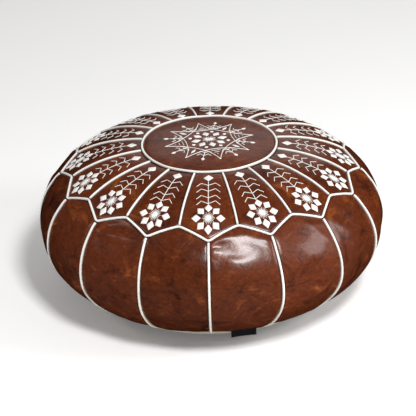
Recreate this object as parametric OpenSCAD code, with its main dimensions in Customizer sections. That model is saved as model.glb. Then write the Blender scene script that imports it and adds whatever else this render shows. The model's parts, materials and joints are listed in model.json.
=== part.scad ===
// Round stuffed floor pouf of brown leather, Moroccan style. Millimetres, +Z up.
// Origin: middle of the underside, on the floor. The front, with the label, faces -Y.
// The cover is sewn from a medallion, 16 petals, 16 side panels and 2 base halves, with white
// piping in every seam. A zip in the base closes it over an inner bag of filling.

/* [Pouf] */
// Diameter over the side panels
pouf_d = 560; // [450:5:650]
// Height of the widest line above the floor
equator_z = 120; // [90:1:150]
// Number of petals, and of side panels
panel_count = 16; // [12:1:20]
// Thickness of the leather
leather_t = 2; // [1:0.1:3]

/* [Outline] */
// Radius of the side's upper curve
shoulder_curve_r = 112; // [90:1:140]
// Sweep of that curve, from the widest line up to the tips of the petals
shoulder_sweep = 48.5; // [35:0.5:60]
// Radius of the curve between the tips and the valleys of the zigzag
brow_curve_r = 98; // [70:1:140]
// Sweep of that curve
brow_sweep = 13.2; // [8:0.1:20]
// Radius of the petals' curve
petal_curve_r = 262; // [200:1:400]
// Sweep of that curve, up to the ring round the medallion
petal_sweep = 26.4; // [20:0.1:32]
// Rise of the medallion in its middle
crown_rise = 5; // [2:0.5:12]
// Radius of the curve under the widest line
waist_curve_r = 78; // [60:1:110]
// Sweep of that curve
waist_sweep = 33; // [20:1:50]
// Radius of the seam between the sides and the base
base_seam_r = 198; // [170:1:230]

/* [Piping] */
// Diameter of the piping
piping_d = 5; // [3:0.5:7]
// Room at each side between the piping and the leather
piping_room = 0.1; // [0.05:0.05:0.5]

/* [Embroidery] */
// Height of the thread above the leather
thread_h = 0.6; // [0.4:0.1:1.2]
// Width of an embroidered line
thread_w = 1.6; // [1:0.1:3]

/* [Label] */
// Length of the woven label along the seam
label_l = 40; // [20:1:60]
// How far it hangs out of the seam
label_drop = 11; // [8:0.5:12]
// Its place round the pouf, from the front towards +X
label_angle = 14; // [0:1:60]

/* [Zip] */
// Length of the row of teeth
zip_l = 260; // [200:10:300]
// Distance between two teeth
tooth_pitch = 4; // [3:0.5:6]
// Length of the slider
slider_l = 11.5; // [9:0.5:14]
// Length of the pull tab, from its pin to its end
pull_l = 22; // [16:1:24]
// Width of the pull tab
pull_w = 7; // [5:0.5:9]

/* [Filling] */
// Room between the leather and the inner bag
bag_room = 1; // [0.5:0.5:3]
// Thickness of the inner bag's cloth
bag_t = 1; // [0.5:0.5:2]

// Sub-part to draw

/* [Hidden] */
$fn = 96;
pitch = 360 / panel_count;
half = pitch / 2;
seam_w = piping_d / 2 + piping_room;
side_r = pouf_d / 2;

// unit vector of the outline's outward normal, e degrees above the horizontal
function out(e) = [cos(e), sin(e)];

// centres, and the points where the curves join, in (radius, height)
shoulder_c = [side_r - shoulder_curve_r, equator_z];
tip = shoulder_c + shoulder_curve_r * out(shoulder_sweep);
brow_e = shoulder_sweep + brow_sweep;
brow_c = tip - brow_curve_r * out(shoulder_sweep);
valley = brow_c + brow_curve_r * out(brow_e);
petal_e = brow_e + petal_sweep;
petal_c = valley - petal_curve_r * out(brow_e);
ring = petal_c + petal_curve_r * out(petal_e);
crown_curve_r = (ring[0] * ring[0] + crown_rise * crown_rise) / (2 * crown_rise);
crown_c = [0, ring[1] + crown_rise - crown_curve_r];
crown_e = acos(ring[0] / crown_curve_r);
// degrees by which the petal's curve laps over the next, so that the two join
lap = 0.05;
// where a petal ends beside the piping round the medallion
petal_in_e = acos((ring[0] + seam_w - petal_c[0]) / petal_curve_r);
waist_c = [side_r - waist_curve_r, equator_z];
foot_top = waist_c + waist_curve_r * out(-waist_sweep);
foot_curve_r = foot_top[1] / (1 - sin(waist_sweep));
foot_c = [foot_top[0] - foot_curve_r * cos(waist_sweep), foot_curve_r];
base_e = -acos((base_seam_r - foot_c[0]) / foot_curve_r);
base_seam = foot_c + foot_curve_r * out(base_e);
// the same seam, a seam's width further in and further out
base_in_e = -acos((base_seam_r - seam_w - foot_c[0]) / foot_curve_r);
base_out_e = -acos((base_seam_r + seam_w - foot_c[0]) / foot_curve_r);

// how far the zigzag piping stands out, and how far its lengths stop short of tip and valley
zigzag_lift = 1;
tip_gap = 1.7;
valley_gap = 1.2;

// the thread's solids stay this far off the leather
thread_gap = 0.2;

// heights and widths in the zip
slot_w = 14;
slot_l = 300;
hem_t = 2;
hem_top = 7;
tape_t = 0.7;
tape_w = 14;
teeth_z0 = 6.2;
teeth_h = 2.3;
teeth_w = 3;
slit = 0.8;
slider_w = 9;
slider_travel = zip_l - slider_l - 0.5;
slider_x = -slider_travel / 2;
pin_z = 3;
pin_r = 0.6;
knuckle_r = 1.25;
knuckle_w = 3.4;
channel_w = 32;
channel_h = 12;

leather_brown = [0.42, 0.22, 0.13];
leather_dark = [0.36, 0.18, 0.11];
piping_white = [0.94, 0.93, 0.9];
thread_white = [0.97, 0.96, 0.93];
label_black = [0.06, 0.06, 0.06];
tape_brown = [0.22, 0.12, 0.08];
brass = [0.78, 0.6, 0.3];
calico = [0.88, 0.84, 0.74];

function numbered(stem, i) = str(stem, i < 10 ? "_0" : "_", i);

// ---- outline in (radius, height) ----

// a band of the outline between two normals, from t inside the curve to over outside it
module band(c, r, e0, e1, t = leather_t, over = 0) {
    reach = 1.3 * r;
    sides = r > 600 ? 720 : 96;
    intersection() {
        translate(c) difference() {
            circle(r = r + over, $fn = sides);
            circle(r = r - t, $fn = sides);
        }
        polygon([c, c + reach * out(e0), c + reach * out((e0 + e1) / 2), c + reach * out(e1)]);
    }
}

// the slice between a curve and its chord, moved in by d
module slice(c, r, e0, e1, d) {
    p0 = c + (r - d) * out(e0);
    p1 = c + (r - d) * out(e1);
    far = 40 * out((e0 + e1) / 2);
    intersection() {
        translate(c) circle(r = r - d);
        polygon([p0, p0 + far, p1 + far, p1]);
    }
}

// everything inside the cover, moved in by d
module inside(d) {
    polygon([
        [0, d],
        [foot_c[0], d],
        foot_c + (foot_curve_r - d) * out(-waist_sweep),
        [side_r - d, equator_z],
        shoulder_c + (shoulder_curve_r - d) * out(shoulder_sweep),
        brow_c + (brow_curve_r - d) * out(brow_e),
        petal_c + (petal_curve_r - d) * out(petal_e - 0.4),
        [0, ring[1] - d]
    ]);
    slice(foot_c, foot_curve_r, -90, -waist_sweep, d);
    slice(waist_c, waist_curve_r, -waist_sweep, 0, d);
    slice(shoulder_c, shoulder_curve_r, 0, shoulder_sweep, d);
    slice(brow_c, brow_curve_r, shoulder_sweep, brow_e, d);
    slice(petal_c, petal_curve_r, brow_e, petal_e - 0.4, d);
}

// ---- plan of a panel, its mid-line along -Y ----

// point at radius r, a degrees round from -Y towards +X
function round_pt(r, a) = [r * sin(a), -r * cos(a)];

// outline inside the zigzag in plan: a petal's V, moved by m outward
module petal_plan(m) {
    t = round_pt(tip[0], 0);
    v = round_pt(valley[0], half);
    run = v - t;
    side = [run[1], -run[0]] / norm(run) * m;
    f = v + side + 0.35 * run;
    // the two offset lines cross on the mid-line
    point_y = (t + side)[1] - (t + side)[0] * run[1] / run[0];
    polygon([[0, 0], [-f[0], f[1]], [0, point_y], [f[0], f[1]]]);
}

// outline inside the zigzag in plan where a side panel rises to a valley, moved by m outward
module side_plan(m) {
    v = round_pt(valley[0], 0);
    t = round_pt(tip[0], half);
    run = t - v;
    side = [run[1], -run[0]] / norm(run) * m;
    f = t + side + 0.35 * run;
    point_y = (v + side)[1] - (v + side)[0] * run[1] / run[0];
    polygon([[0, 0], [-f[0], f[1]], [0, point_y], [f[0], f[1]]]);
}

// turns a profile round Z over one panel, its mid-line along -Y
module panel_turn() {
    rotate([0, 0, -90 - half])
        rotate_extrude(angle = pitch)
            children();
}

// ---- leather ----

module medallion_panel() {
    color(leather_brown)
        rotate_extrude()
            difference() {
                band(crown_c, crown_curve_r, crown_e, 90);
                translate([ring[0] - seam_w, 0])
                    square([60, 400]);
            }
}

module petal_panel(i) {
    color(leather_brown)
        rotate([0, 0, pitch * (i - 1)])
            difference() {
                intersection() {
                    panel_turn() {
                        band(petal_c, petal_curve_r, brow_e - lap, petal_in_e);
                        band(brow_c, brow_curve_r, shoulder_sweep, brow_e);
                    }
                    linear_extrude(height = 300) petal_plan(-seam_w);
                }
                petal_sides();
            }
}

// what lies beyond a panel's two seams
module petal_sides() {
    for (s = [-1, 1])
        rotate([0, 0, s * half])
            translate([s > 0 ? -seam_w : seam_w - 40, -330, -10])
                cube([40, 330, 300]);
}

module side_panel(i) {
    color(leather_brown)
        rotate([0, 0, pitch * (i - 0.5)])
            difference() {
                panel_turn() {
                    band(brow_c, brow_curve_r, shoulder_sweep, brow_e);
                    band(shoulder_c, shoulder_curve_r, 0, shoulder_sweep);
                    band(waist_c, waist_curve_r, -waist_sweep, 0);
                    band(foot_c, foot_curve_r, base_out_e, -waist_sweep);
                }
                petal_sides();
                translate([0, 0, equator_z + 40])
                    linear_extrude(height = 200) side_plan(seam_w);
            }
}

// s = -1 for the front half, 1 for the back half
module base_half(s) {
    color(leather_dark) {
        intersection() {
            rotate_extrude() {
                square([foot_c[0], leather_t]);
                band(foot_c, foot_curve_r, -90, base_in_e);
            }
            translate([-300, s > 0 ? slot_w / 2 : -300, -1])
                cube([600, 300 - slot_w / 2, 60]);
        }
        // the edge turned in beside the zip
        translate([-slot_l / 2, s > 0 ? slot_w / 2 : -slot_w / 2 - hem_t, leather_t - 0.1])
            cube([slot_l, hem_t, hem_top - leather_t + 0.1]);
    }
}

module base_panel_front() {
    base_half(-1);
}

module base_panel_back() {
    base_half(1);
}

// ---- piping ----

// a cord bent along one curve of the outline, in the plane of -Y and Z
module cord_arc(c, r, e0, e1) {
    rotate([90, 0, -90])
        translate([c[0], c[1], 0])
            rotate([0, 0, e0])
                rotate_extrude(angle = e1 - e0)
                    translate([r, 0])
                        circle(d = piping_d, $fn = 24);
}

module medallion_piping() {
    color(piping_white)
        rotate_extrude()
            translate(ring)
                circle(d = piping_d, $fn = 24);
}

module petal_piping() {
    outer_e = acos((valley[0] - 1.2 * seam_w - petal_c[0]) / petal_curve_r);
    color(piping_white)
        for (i = [1:panel_count])
            rotate([0, 0, pitch * (i - 0.5)])
                cord_arc(petal_c, petal_curve_r, outer_e, petal_in_e);
}

// the zigzag runs in straight lengths, which stop short of each other at its corners, and it
// stands a little proud, because the cover bulges between them
module crown_piping() {
    t = [for (i = [0:panel_count]) zigzag_pt(tip, shoulder_sweep, pitch * i)];
    v = [for (i = [0:panel_count]) zigzag_pt(valley, brow_e, pitch * (i + 0.5))];
    color(piping_white)
        for (i = [0:panel_count - 1]) {
            rod(t[i], v[i]);
            rod(t[i + 1], v[i]);
        }
}

// a corner of the zigzag at direction a, lifted out of the cover, which faces e degrees up there
function zigzag_pt(p, e, a) = concat(
    round_pt(p[0] + zigzag_lift * cos(e), a), p[1] + zigzag_lift * sin(e));

// a round rod from tip a to valley b
module rod(a, b) {
    d = (b - a) / norm(b - a);
    translate(a + tip_gap * d)
        rotate([0, acos(d[2]), atan2(d[1], d[0])])
            cylinder(h = norm(b - a) - tip_gap - valley_gap, d = piping_d, $fn = 24);
}

module side_piping() {
    top_e = shoulder_sweep - 3.2 / shoulder_curve_r * 57.3;
    color(piping_white)
        for (i = [1:panel_count])
            rotate([0, 0, pitch * i]) {
                cord_arc(shoulder_c, shoulder_curve_r, 0, top_e);
                cord_arc(waist_c, waist_curve_r, -waist_sweep, 0);
                cord_arc(foot_c, foot_curve_r, base_out_e, -waist_sweep);
            }
}

module base_piping() {
    color(piping_white)
        rotate_extrude()
            translate(base_seam)
                circle(d = piping_d, $fn = 24);
}

// ---- embroidery ----

// a line of thread between two points in plan
module stitch_line(a, b, w = thread_w) {
    d = b - a;
    translate(a)
        rotate([0, 0, atan2(d[1], d[0])])
            translate([-w / 2, -w / 2])
                square([norm(d) + w, w]);
}

// a diamond of satin stitch, l long and w wide, pointing along a
module diamond(at, l, w, a) {
    translate(at)
        rotate([0, 0, a])
            polygon([[l / 2, 0], [0, w / 2], [-l / 2, 0], [0, -w / 2]]);
}

// sprig, four pairs of branches and flower of one petal, in plan, mid-line along -Y
module petal_motif() {
    flower = [0, -203];
    diamond([0, -121], 16, 14, 90);
    translate([-thread_w / 2, -187])
        square([thread_w, 62]);
    for (r = [141, 153, 165, 177])
        polygon([
            [0, -r - 1.2],
            [15, -r + 5],
            [14, -r + 7.5],
            [0, -r + 1.2],
            [-14, -r + 7.5],
            [-15, -r + 5]
        ]);
    translate(flower)
        polygon([for (k = [0:15]) (k % 2 == 0 ? 23 : 13) * [sin(22.5 * k), cos(22.5 * k)]]);
}

module petal_embroidery() {
    color(thread_white)
        for (i = [1:panel_count])
            rotate([0, 0, pitch * (i - 1)])
                intersection() {
                    panel_turn()
                        band(petal_c, petal_curve_r, brow_e, petal_e - 1, -thread_gap, thread_gap + thread_h);
                    linear_extrude(height = 300) petal_motif();
                }
}

// one concave four-pointed star in lines, its tips on radius r
module star_lines(r) {
    for (q = [0:3])
        rotate([0, 0, 90 * q]) {
            stitch_line([r, 0], [0.37 * r, 0.37 * r]);
            stitch_line([0.37 * r, 0.37 * r], [0, r]);
        }
}

module medallion_motif() {
    rotate([0, 0, 15]) star_lines(73);
    rotate([0, 0, 60]) star_lines(73);
    for (k = [0:7])
        rotate([0, 0, 37.5 + 45 * k]) {
            stitch_line([30, 0], [66, 0]);
            diamond([70, 0], 10, 8, 0);
            for (s = [-1, 1]) {
                stitch_line([48, 0], [55, s * 8]);
                stitch_line([56, 0], [62, s * 8]);
            }
        }
    for (k = [0:7])
        rotate([0, 0, 15 + 45 * k]) {
            diamond([21.5, 0], 15, 9, 0);
            stitch_line([0, 0], [18, 0], 1.2);
        }
    circle(r = 6, $fn = 24);
}

module medallion_embroidery() {
    color(thread_white)
        intersection() {
            rotate_extrude()
                band(crown_c, crown_curve_r, crown_e + 0.5, 90, -thread_gap, thread_gap + thread_h);
            linear_extrude(height = 300) medallion_motif();
        }
}

// ---- label ----

module woven_label() {
    color(label_black)
        rotate([0, 0, label_angle])
            translate([-label_l / 2, -base_seam[0] - 1.5, base_seam[1] - piping_d / 2 - 0.2 - label_drop])
                cube([label_l, 1, label_drop]);
}

// ---- zip ----

// leather tabs that close the slot beyond the two ends of the zip
module zip_end_tabs() {
    color(leather_dark)
        for (s = [-1, 1])
            intersection() {
                rotate_extrude()
                    difference() {
                        band(foot_c, foot_curve_r, -90, base_in_e);
                        square([slot_l / 2 + 0.3, 100]);
                    }
                translate([s > 0 ? 100 : -250, -slot_w / 2 + 0.1, -1])
                    cube([150, slot_w - 0.2, 60]);
            }
}

module tape(s) {
    color(tape_brown)
        translate([-slot_l / 2, s > 0 ? 1.4 : -1.4 - tape_w, hem_top + 0.02])
            cube([slot_l, tape_w, tape_t]);
}

module zip_tape_front() {
    tape(-1);
}

module zip_tape_back() {
    tape(1);
}

// one row of teeth: two thin rails that clamp the tape's edge, and a tooth every pitch
module teeth_row(s) {
    count = floor(zip_l / tooth_pitch) - 1;
    start = -count * tooth_pitch / 2;
    comb = concat(
        [[-zip_l / 2, 1.35]],
        [for (k = [0:count]) each [
            [start + k * tooth_pitch - 0.9, 1.35],
            [start + k * tooth_pitch - 0.9, slit / 2],
            [start + k * tooth_pitch + 0.9, slit / 2],
            [start + k * tooth_pitch + 0.9, 1.35]
        ]],
        [[zip_l / 2, 1.35], [zip_l / 2, teeth_w], [-zip_l / 2, teeth_w]]
    );
    mirror([0, s > 0 ? 0 : 1, 0])
        translate([0, 0, teeth_z0])
            difference() {
                linear_extrude(height = teeth_h) polygon(comb);
                translate([-slot_l / 2, 1.38, hem_top - teeth_z0])
                    cube([slot_l, 10, tape_t + 0.04]);
            }
}

module zip_teeth_front() {
    color(brass) teeth_row(-1);
}

module zip_teeth_back() {
    color(brass) teeth_row(1);
}

module zip_stops() {
    color(brass) {
        for (s = [-1, 1])
            translate([-zip_l / 2 - 2.4, s > 0 ? 1.6 : -3, hem_top + tape_t + 0.05])
                cube([2, 1.4, 1]);
        translate([zip_l / 2 + 0.4, -3, hem_top + tape_t + 0.05])
            cube([2.6, 6, 1]);
    }
}

module zip_slider() {
    color(brass)
        translate([slider_x, 0, 0]) {
            // two plates with flanges, joined by a post
            for (z = [4.7, 9])
                translate([-slider_l / 2, -slider_w / 2, z])
                    cube([slider_l, slider_w, 1]);
            for (s = [-1, 1])
                for (z = [5.6, 8])
                    translate([-slider_l / 2, s > 0 ? slider_w / 2 - 1.1 : -slider_w / 2, z])
                        cube([slider_l, 1.1, 1.1]);
            translate([1.5, -0.25, 5.6])
                cube([3, 0.5, 3.5]);
            // lugs and pin for the pull tab
            for (s = [-1, 1])
                translate([0, s * (knuckle_w / 2 + 0.8), 0]) {
                    translate([0, 0.5, pin_z])
                        rotate([90, 0, 0])
                            cylinder(h = 1, r = 1.4, $fn = 24);
                    translate([-1.4, -0.5, pin_z])
                        cube([2.8, 1, 4.8 - pin_z]);
                }
            translate([0, knuckle_w / 2 + 1, pin_z])
                rotate([90, 0, 0])
                    cylinder(h = knuckle_w + 2, r = pin_r, $fn = 24);
        }
}

module zip_pull_tab() {
    color(brass)
        translate([slider_x, 0, pin_z])
            difference() {
                union() {
                    translate([0, knuckle_w / 2, 0])
                        rotate([90, 0, 0])
                            cylinder(h = knuckle_w, r = knuckle_r, $fn = 24);
                    translate([0, -knuckle_w / 2, -0.7])
                        cube([5, knuckle_w, 1.4]);
                    difference() {
                        translate([0, 0, -0.7])
                            linear_extrude(height = 1.4)
                                polygon([
                                    [3.5, -knuckle_w / 2],
                                    [7, -pull_w / 2],
                                    [pull_l - 1.5, -pull_w / 2],
                                    [pull_l, -pull_w / 2 + 1.5],
                                    [pull_l, pull_w / 2 - 1.5],
                                    [pull_l - 1.5, pull_w / 2],
                                    [7, pull_w / 2],
                                    [3.5, knuckle_w / 2]
                                ]);
                        translate([pull_l - 4.2, 0, -2])
                            cylinder(h = 4, d = 3.4, $fn = 24);
                    }
                }
                translate([0, 5, 0])
                    rotate([90, 0, 0])
                        cylinder(h = 10, r = pin_r + 0.2, $fn = 24);
            }
}

// ---- inside ----

// everything inside the cover moved in by d, with a channel over the zip
module stuffing(d, w, h) {
    difference() {
        rotate_extrude() inside(d);
        translate([-slot_l / 2 - 12, -w / 2, -1])
            cube([slot_l + 24, w, h + 1]);
    }
}

module inner_bag() {
    d = leather_t + bag_room;
    color(calico)
        difference() {
            stuffing(d, channel_w, channel_h);
            stuffing(d + bag_t, channel_w + 2 * bag_t, channel_h + bag_t);
        }
}

module filling() {
    d = leather_t + bag_room + bag_t + 0.3;
    color([0.95, 0.95, 0.93])
        stuffing(d, channel_w + 2 * bag_t + 0.6, channel_h + bag_t + 0.3);
}

medallion_panel();
for (i = [1:panel_count])
    petal_panel(i);
for (i = [1:panel_count])
    side_panel(i);
base_panel_front();
base_panel_back();
medallion_piping();
petal_piping();
crown_piping();
side_piping();
base_piping();
medallion_embroidery();
petal_embroidery();
woven_label();
zip_end_tabs();
zip_tape_front();
zip_tape_back();
zip_teeth_front();
zip_teeth_back();
zip_stops();
zip_slider();
zip_pull_tab();
inner_bag();
filling();
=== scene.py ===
import json
import math
import bpy
import numpy as np
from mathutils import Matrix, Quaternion, Vector
from mathutils.bvhtree import BVHTree

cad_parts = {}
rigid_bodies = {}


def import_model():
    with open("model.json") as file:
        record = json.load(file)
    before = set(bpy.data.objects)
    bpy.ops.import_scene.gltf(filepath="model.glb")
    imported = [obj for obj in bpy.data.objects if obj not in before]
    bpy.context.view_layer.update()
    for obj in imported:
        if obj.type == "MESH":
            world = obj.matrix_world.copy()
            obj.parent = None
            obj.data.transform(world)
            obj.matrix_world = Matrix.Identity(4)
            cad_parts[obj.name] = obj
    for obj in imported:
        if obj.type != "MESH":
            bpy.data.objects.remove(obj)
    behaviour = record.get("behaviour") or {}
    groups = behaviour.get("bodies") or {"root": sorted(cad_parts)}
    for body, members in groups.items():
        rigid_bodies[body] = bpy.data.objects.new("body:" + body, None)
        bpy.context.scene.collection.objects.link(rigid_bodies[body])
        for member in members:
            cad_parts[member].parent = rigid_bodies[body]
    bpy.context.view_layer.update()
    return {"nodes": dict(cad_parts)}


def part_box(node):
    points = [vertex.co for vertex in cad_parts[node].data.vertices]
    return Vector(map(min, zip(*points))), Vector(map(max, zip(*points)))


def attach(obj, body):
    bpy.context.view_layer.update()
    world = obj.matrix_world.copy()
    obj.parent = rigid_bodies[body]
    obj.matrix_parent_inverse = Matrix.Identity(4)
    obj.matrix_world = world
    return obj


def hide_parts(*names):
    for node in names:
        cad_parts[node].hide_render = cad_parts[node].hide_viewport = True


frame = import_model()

# ---- Leather cover ----
# One round medallion, sixteen petals and sixteen side panels of polished cowhide, cut flat, sewn
# together inside out and turned. The edges roll in at every seam, and a cloth run with an inner
# pressure, held along every seam, pushes each panel out between its seams; listed folds then add
# soft creases, most of them at the corners.

PANELS = 16
pitch = 2 * math.pi / PANELS
half = pitch / 2
piping_radius = 0.0025
leather_thick = 0.0014

lo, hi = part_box("side_piping")
belly_r = (hi.x - lo.x) / 2 - piping_radius
belly_z = 0.120
lo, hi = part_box("base_piping")
base_seam_r = (hi.x - lo.x) / 2 - piping_radius

# the outline from the medallion's edge, over the shoulder, to the seam under the foot
petal_curve_r, brow_curve_r, shoulder_curve_r, waist_curve_r = 0.262, 0.098, 0.112, 0.078
shoulder_e, brow_e, petal_e, waist_e = 48.5, 61.7, 88.1, -33.0


def out(e):
    return np.array([math.cos(math.radians(e)), math.sin(math.radians(e))])


def arc(centre, radius, e0, e1, count):
    e = np.radians(np.linspace(e0, e1, count))
    return np.c_[centre[0] + radius * np.cos(e), centre[1] + radius * np.sin(e)]


shoulder_c = np.array([belly_r - shoulder_curve_r, belly_z])
tip = shoulder_c + shoulder_curve_r * out(shoulder_e)
brow_c = tip - brow_curve_r * out(shoulder_e)
valley = brow_c + brow_curve_r * out(brow_e)
petal_c = valley - petal_curve_r * out(brow_e)
ring = petal_c + petal_curve_r * out(petal_e)
waist_c = np.array([belly_r - waist_curve_r, belly_z])
foot_top = waist_c + waist_curve_r * out(waist_e)
foot_curve_r = foot_top[1] / (1 + math.sin(math.radians(waist_e)))
foot_c = np.array([foot_top[0] - foot_curve_r * math.cos(math.radians(waist_e)), foot_curve_r])
base_e = -math.degrees(math.acos((base_seam_r - foot_c[0]) / foot_curve_r))
outline = np.vstack([
    arc(petal_c, petal_curve_r, petal_e, brow_e, 200)[:-1],
    arc(brow_c, brow_curve_r, brow_e, shoulder_e, 60)[:-1],
    arc(shoulder_c, shoulder_curve_r, shoulder_e, 0, 200)[:-1],
    arc(waist_c, waist_curve_r, 0, waist_e, 100)[:-1],
    arc(foot_c, foot_curve_r, waist_e, base_e, 150),
])
along = np.r_[0, np.cumsum(np.linalg.norm(np.diff(outline, axis=0), axis=1))]
slope = np.gradient(outline, along, axis=0)
base_s = along[-1]
belly_i = int(np.argmax(outline[:, 0]))

# how far each side seam's belly has settled out of round, in millimetres, from the front round
settled = np.array([2, 8, 5, 3, 0, 1, -1, 2, 0, -2, 1, 0, 0, -1, 0, -3]) * 1e-3


def settle(points):
    """The stuffed cover leans out of round at its belly and sinks at its shoulder, as after use."""
    phi = np.arctan2(points[..., 0], -points[..., 1])
    k = np.mod(phi / pitch, PANELS)
    i = np.floor(k).astype(int) % PANELS
    f = k - np.floor(k)
    f = f * f * (3 - 2 * f)
    push = settled[i] * (1 - f) + settled[(i + 1) % PANELS] * f
    push = push * np.exp(-((points[..., 2] - 0.13) / 0.055) ** 2)
    grow = 1 + push / np.maximum(np.hypot(points[..., 0], points[..., 1]), 0.05)
    moved = points.copy()
    moved[..., 0] *= grow
    moved[..., 1] *= grow
    moved[..., 2] += 0.0005 * np.sin(3 * phi + 1) * np.clip(points[..., 2] / 0.2, 0, 1)
    r = np.hypot(points[..., 0], points[..., 1])
    above_belly = np.clip((points[..., 2] - 0.12) / 0.05, 0, 1)
    moved[..., 2] -= 0.0038 * np.exp(-((r - 0.245) / 0.030) ** 2) * above_belly
    return moved


def on_round(a, s):
    """The place and the outward direction at angle a and at s along the outline."""
    r, z = np.interp(s, along, outline[:, 0]), np.interp(s, along, outline[:, 1])
    tr, tz = np.interp(s, along, slope[:, 0]), np.interp(s, along, slope[:, 1])
    place = np.stack([r * np.sin(a), -r * np.cos(a), z], -1)
    facing = np.stack([-tz * np.sin(a), tz * np.cos(a), tr], -1)
    return settle(place), facing


def s_of_radius(r):
    return np.interp(r, outline[:belly_i, 0], along[:belly_i])


def zigzag_s(a):
    """Where the zigzag seam crosses angle a, measured from a petal's mid-line."""
    corner = np.array([valley[0] * math.sin(half), valley[0] * math.cos(half)])
    run = np.array([0, tip[0]]) - corner
    a = np.abs(a)
    return s_of_radius((corner[0] * run[1] - corner[1] * run[0])
                       / (np.sin(a) * run[1] - np.cos(a) * run[0]))


ACROSS, PETAL_ROWS, SIDE_ROWS = 22, 30, 54
across = np.linspace(-1, 1, ACROSS + 1) * half


def panel_grid(middle, s0, s1, rows):
    v = np.linspace(0, 1, rows + 1)[:, None]
    a = np.broadcast_to(across + middle, (rows + 1, ACROSS + 1))
    return on_round(a, s0 + v * (s1 - s0))


panels = {}
for i in range(PANELS):
    panels[f"petal_{i + 1:02d}"] = panel_grid(pitch * i, 0 * across, zigzag_s(across), PETAL_ROWS)
for i in range(PANELS):
    top = zigzag_s(half - np.abs(across))
    panels[f"side_{i + 1:02d}"] = panel_grid(pitch * (i + 0.5), top, base_s + 0 * across, SIDE_ROWS)


def new_piece(name, verts, faces, smooth=True):
    mesh = bpy.data.meshes.new(name)
    mesh.from_pydata(np.asarray(verts).tolist(), [], [list(map(int, f)) for f in faces])
    mesh.update()
    if smooth:
        mesh.polygons.foreach_set("use_smooth", [True] * len(mesh.polygons))
    piece = bpy.data.objects.new(name, mesh)
    bpy.context.scene.collection.objects.link(piece)
    return piece


def grid_faces(rows, cols, start=0, closed=False):
    """Quads of a grid of points, row after row; closed joins each row's end to its start."""
    at = np.arange(rows * cols).reshape(rows, cols) + start
    if closed:
        at = np.hstack([at, at[:, :1]])
    return np.stack([at[:-1, :-1], at[1:, :-1], at[1:, 1:], at[:-1, 1:]], -1).reshape(-1, 4)


def capped(rows, cols):
    """Faces of a tube of closed rows, with a cap on each end."""
    return grid_faces(rows, cols, closed=True).tolist() + [
        list(range(cols)), list(range((rows - 1) * cols, rows * cols))[::-1]]


def stuff(grids):
    """Blows the panels out between their seams: a leather cloth held along every seam."""
    verts, faces, held, start = [], [], [], 0
    for g in grids:
        rows, cols = g.shape[:2]
        edge = np.ones((rows, cols), bool)
        edge[1:-1, 1:-1] = False
        verts.append(g.reshape(-1, 3))
        faces.append(grid_faces(rows, cols, start))
        held.append(np.flatnonzero(edge) + start)
        start += rows * cols
    verts = np.vstack(verts)
    cloth = new_piece("stuffing_test", verts, np.vstack(faces))
    seams = cloth.vertex_groups.new(name="seams")
    seams.add(np.concatenate(held).tolist(), 1.0, "REPLACE")
    leather = cloth.modifiers.new("leather", "CLOTH")
    s = leather.settings
    s.quality, s.mass, s.air_damping = 5, 0.3, 2
    s.tension_stiffness = s.compression_stiffness = 40
    s.shear_stiffness, s.bending_stiffness = 20, 4
    s.tension_damping = s.compression_damping = s.shear_damping = 10
    s.bending_damping = 1
    s.vertex_group_mass = "seams"
    s.use_pressure, s.uniform_pressure_force = True, 5
    s.shrink_min = -0.015
    s.effector_weights.gravity = 0
    leather.collision_settings.use_collision = False
    leather.collision_settings.use_self_collision = False
    leather.point_cache.frame_start, leather.point_cache.frame_end = 1, 16
    for f in range(1, 17):
        bpy.context.scene.frame_set(f)
    blown = cloth.evaluated_get(bpy.context.evaluated_depsgraph_get())
    co = np.empty(len(verts) * 3)
    blown.data.vertices.foreach_get("co", co)
    bpy.context.scene.frame_set(1)
    bpy.data.objects.remove(cloth)
    moved = co.reshape(-1, 3) - verts
    size = np.linalg.norm(moved, axis=1, keepdims=True)
    most = 0.013    # no place swells further than this
    moved *= np.minimum(1, most / np.maximum(size, 1e-9))
    cuts = np.cumsum([len(g.reshape(-1, 3)) for g in grids])[:-1]
    return [m.reshape(g.shape) for m, g in zip(np.split(moved, cuts), grids)]


def from_edges(g):
    """Every point's distance from its panel's nearest seam."""
    def one_way(axis):
        steps = np.linalg.norm(np.diff(g, axis=axis), axis=-1)
        run = np.cumsum(steps, axis=axis)
        run = np.concatenate([np.zeros_like(np.take(run, [0], axis)), run], axis)
        return np.minimum(run, np.take(run, [-1], axis) - run)
    return np.minimum(one_way(0), one_way(1))


swell = stuff([g for g, n in panels.values()])

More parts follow.
